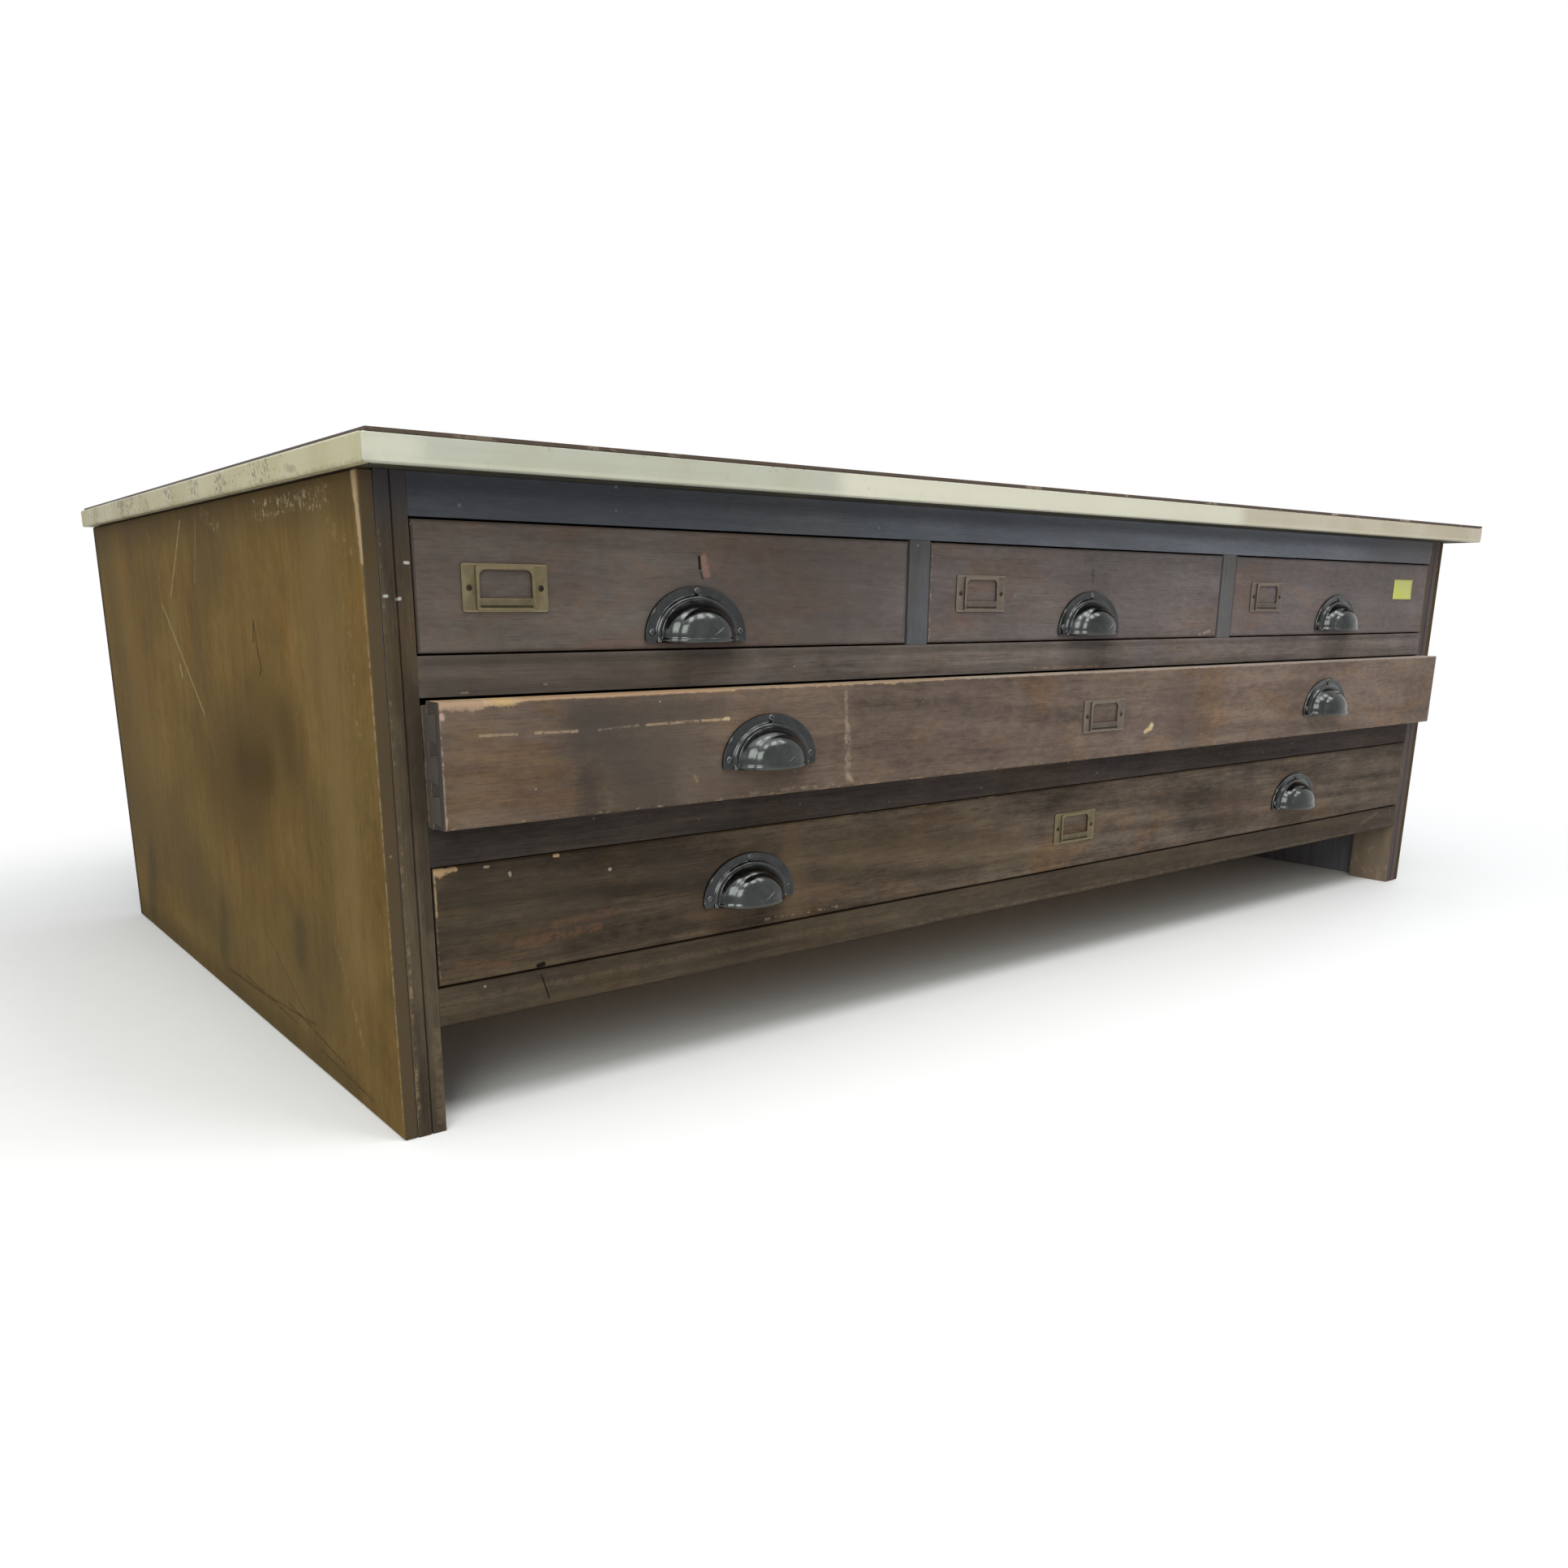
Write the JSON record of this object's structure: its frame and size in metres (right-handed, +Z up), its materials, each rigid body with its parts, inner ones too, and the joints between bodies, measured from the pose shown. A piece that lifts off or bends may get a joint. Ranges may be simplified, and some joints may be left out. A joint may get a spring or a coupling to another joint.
{
  "type": "flat file cabinet",
  "caption": "Low flat file cabinet with small drawers above full-width ones, cup pulls, card holders, an overhanging painted-edge top and plain panel legs.",
  "frame": {"origin": "centre of the overall box's footprint, at floor level", "axes": "+X to the cabinet's right as seen from its front, -Y out of the front where the drawers open, +Z up"},
  "size_m": [1.557, 0.9222, 0.4936],
  "materials": {
    "sage_painted_strip": "pale sage paint worn on wood",
    "cream_painted_strip": "flaking cream paint on wood",
    "dark_covering": "thin dark covering",
    "olive_worn_wood": "worn olive-brown stain",
    "dark_frame_wood": "dark brown stain",
    "brown_drawer_wood": "dark brown stain, worn edges",
    "pale_inner_wood": "bare aged softwood",
    "black_bronze": "dark polished bronze",
    "old_brass": "tarnished brass"
  },
  "bodies": {
    "cabinet": {"top_board": "olive_worn_wood", "top_covering": "dark_covering", "front_edge_strip": "sage_painted_strip", "left_edge_strip": "cream_painted_strip", "right_edge_strip": "cream_painted_strip", "back_edge_strip": "cream_painted_strip", "left_side_panel": "olive_worn_wood", "right_side_panel": "olive_worn_wood", "left_front_post": "dark_frame_wood", "right_front_post": "dark_frame_wood", "top_rail": "dark_frame_wood", "upper_rail": "dark_frame_wood", "middle_rail": "dark_frame_wood", "bottom_rail": "dark_frame_wood", "left_divider": "dark_frame_wood", "right_divider": "dark_frame_wood", "left_runner_frame": "pale_inner_wood", "right_runner_frame": "pale_inner_wood", "left_centre_runner": "pale_inner_wood", "right_centre_runner": "pale_inner_wood", "upper_back_rail": "pale_inner_wood", "back_panel": "pale_inner_wood"},
    "top_left_drawer": {"top_left_drawer_front": "brown_drawer_wood", "top_left_drawer_left_side": "pale_inner_wood", "top_left_drawer_right_side": "pale_inner_wood", "top_left_drawer_back": "pale_inner_wood", "top_left_drawer_bottom": "pale_inner_wood", "top_left_drawer_pull": "black_bronze", "top_left_drawer_card_holder": "old_brass"},
    "top_middle_drawer": {"top_middle_drawer_front": "brown_drawer_wood", "top_middle_drawer_left_side": "pale_inner_wood", "top_middle_drawer_right_side": "pale_inner_wood", "top_middle_drawer_back": "pale_inner_wood", "top_middle_drawer_bottom": "pale_inner_wood", "top_middle_drawer_pull": "black_bronze", "top_middle_drawer_card_holder": "old_brass"},
    "top_right_drawer": {"top_right_drawer_front": "brown_drawer_wood", "top_right_drawer_left_side": "pale_inner_wood", "top_right_drawer_right_side": "pale_inner_wood", "top_right_drawer_back": "pale_inner_wood", "top_right_drawer_bottom": "pale_inner_wood", "top_right_drawer_pull": "black_bronze", "top_right_drawer_card_holder": "old_brass"},
    "upper_wide_drawer": {"upper_wide_drawer_front": "brown_drawer_wood", "upper_wide_drawer_left_side": "pale_inner_wood", "upper_wide_drawer_right_side": "pale_inner_wood", "upper_wide_drawer_back": "pale_inner_wood", "upper_wide_drawer_bottom": "pale_inner_wood", "upper_wide_drawer_left_pull": "black_bronze", "upper_wide_drawer_right_pull": "black_bronze", "upper_wide_drawer_card_holder": "old_brass"},
    "lower_wide_drawer": {"lower_wide_drawer_front": "brown_drawer_wood", "lower_wide_drawer_left_side": "pale_inner_wood", "lower_wide_drawer_right_side": "pale_inner_wood", "lower_wide_drawer_back": "pale_inner_wood", "lower_wide_drawer_bottom": "pale_inner_wood", "lower_wide_drawer_left_pull": "black_bronze", "lower_wide_drawer_right_pull": "black_bronze", "lower_wide_drawer_card_holder": "old_brass"}
  },
  "joints": [
    {"name": "top_left_drawer_slide", "type": "slide", "parent": "cabinet", "child": "top_left_drawer", "axis": [0, -1, 0], "range_m": [0, 0.6]},
    {"name": "top_middle_drawer_slide", "type": "slide", "parent": "cabinet", "child": "top_middle_drawer", "axis": [0, -1, 0], "range_m": [0, 0.6]},
    {"name": "top_right_drawer_slide", "type": "slide", "parent": "cabinet", "child": "top_right_drawer", "axis": [0, -1, 0], "range_m": [0, 0.6]},
    {"name": "upper_wide_drawer_slide", "type": "slide", "parent": "cabinet", "child": "upper_wide_drawer", "axis": [0, -1, 0], "range_m": [-0.0275, 0.5725]},
    {"name": "lower_wide_drawer_slide", "type": "slide", "parent": "cabinet", "child": "lower_wide_drawer", "axis": [0, -1, 0], "range_m": [0, 0.6]}
  ]
}
